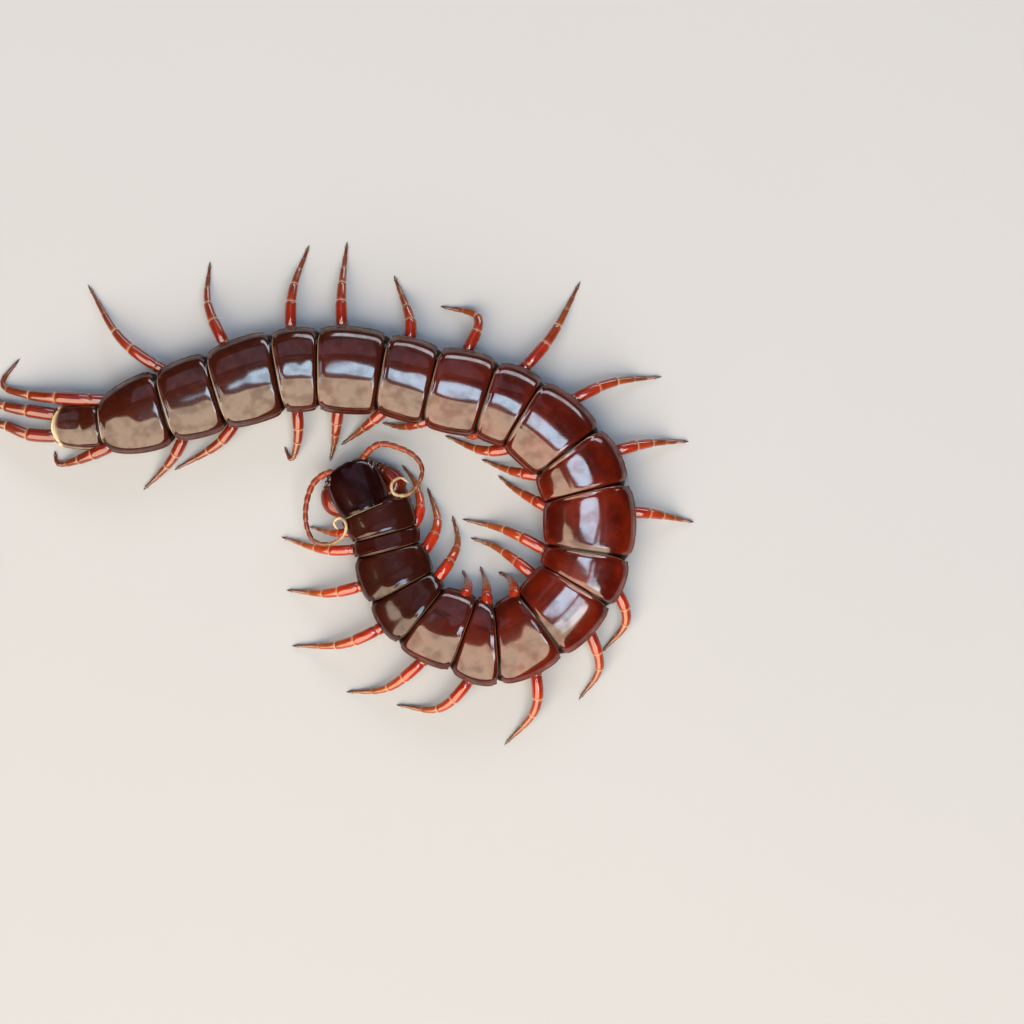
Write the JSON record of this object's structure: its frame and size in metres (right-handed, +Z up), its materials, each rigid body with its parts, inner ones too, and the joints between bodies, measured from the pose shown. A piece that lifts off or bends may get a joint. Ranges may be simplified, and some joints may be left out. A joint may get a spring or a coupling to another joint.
{
  "type": "giant centipede, still life-size model",
  "caption": "Life-size still model of a large brown centipede lying in a coil on its own legs, with curled antennae and trailing last legs.",
  "frame": {"origin": "on the floor, under the middle of the animal's own box", "axes": "+Z up; +Y is the upper edge of the picture, which looks straight down; the tail points to -X"},
  "size_m": [0.1154, 0.0788, 0.0081],
  "materials": {
    "plates": "glossy dark maroon chitin",
    "head_shield": "glossy near-black chitin",
    "venom_claws": "glossy red-brown chitin with black tips",
    "antennae": "satin amber chitin, paler towards the tips",
    "legs": "glossy orange-red chitin, brown towards the claws"
  },
  "bodies": {
    "root": {"trunk_01_02": "plates", "trunk_03_04": "plates", "trunk_05_06": "plates", "trunk_07_08": "plates", "trunk_09_10": "plates", "trunk_11_12": "plates", "trunk_13_14": "plates", "trunk_15_16": "plates", "trunk_17_18": "plates", "trunk_19_20": "plates", "trunk_21": "plates", "head": "head_shield", "venom_claw_left": "venom_claws", "antenna_left_base": "antennae", "antenna_left_tip": "antennae", "leg_left_01": "legs", "leg_left_02": "legs", "leg_left_03": "legs", "leg_left_04": "legs", "leg_left_05": "legs", "leg_left_06": "legs", "leg_left_07": "legs", "leg_left_08": "legs", "leg_left_09": "legs", "leg_left_10": "legs", "leg_left_11": "legs", "leg_left_12": "legs", "leg_left_13": "legs", "leg_left_14": "legs", "leg_left_15": "legs", "leg_left_16": "legs", "leg_left_17": "legs", "leg_left_18": "legs", "leg_left_19": "legs", "leg_left_20": "legs", "leg_left_21": "legs", "venom_claw_right": "venom_claws", "antenna_right_base": "antennae", "antenna_right_tip": "antennae", "leg_right_01": "legs", "leg_right_02": "legs", "leg_right_03": "legs", "leg_right_04": "legs", "leg_right_05": "legs", "leg_right_06": "legs", "leg_right_07": "legs", "leg_right_08": "legs", "leg_right_09": "legs", "leg_right_10": "legs", "leg_right_11": "legs", "leg_right_12": "legs", "leg_right_13": "legs", "leg_right_14": "legs", "leg_right_15": "legs", "leg_right_16": "legs", "leg_right_17": "legs", "leg_right_18": "legs", "leg_right_19": "legs", "leg_right_20": "legs", "leg_right_21": "legs"}
  },
  "joints": []
}
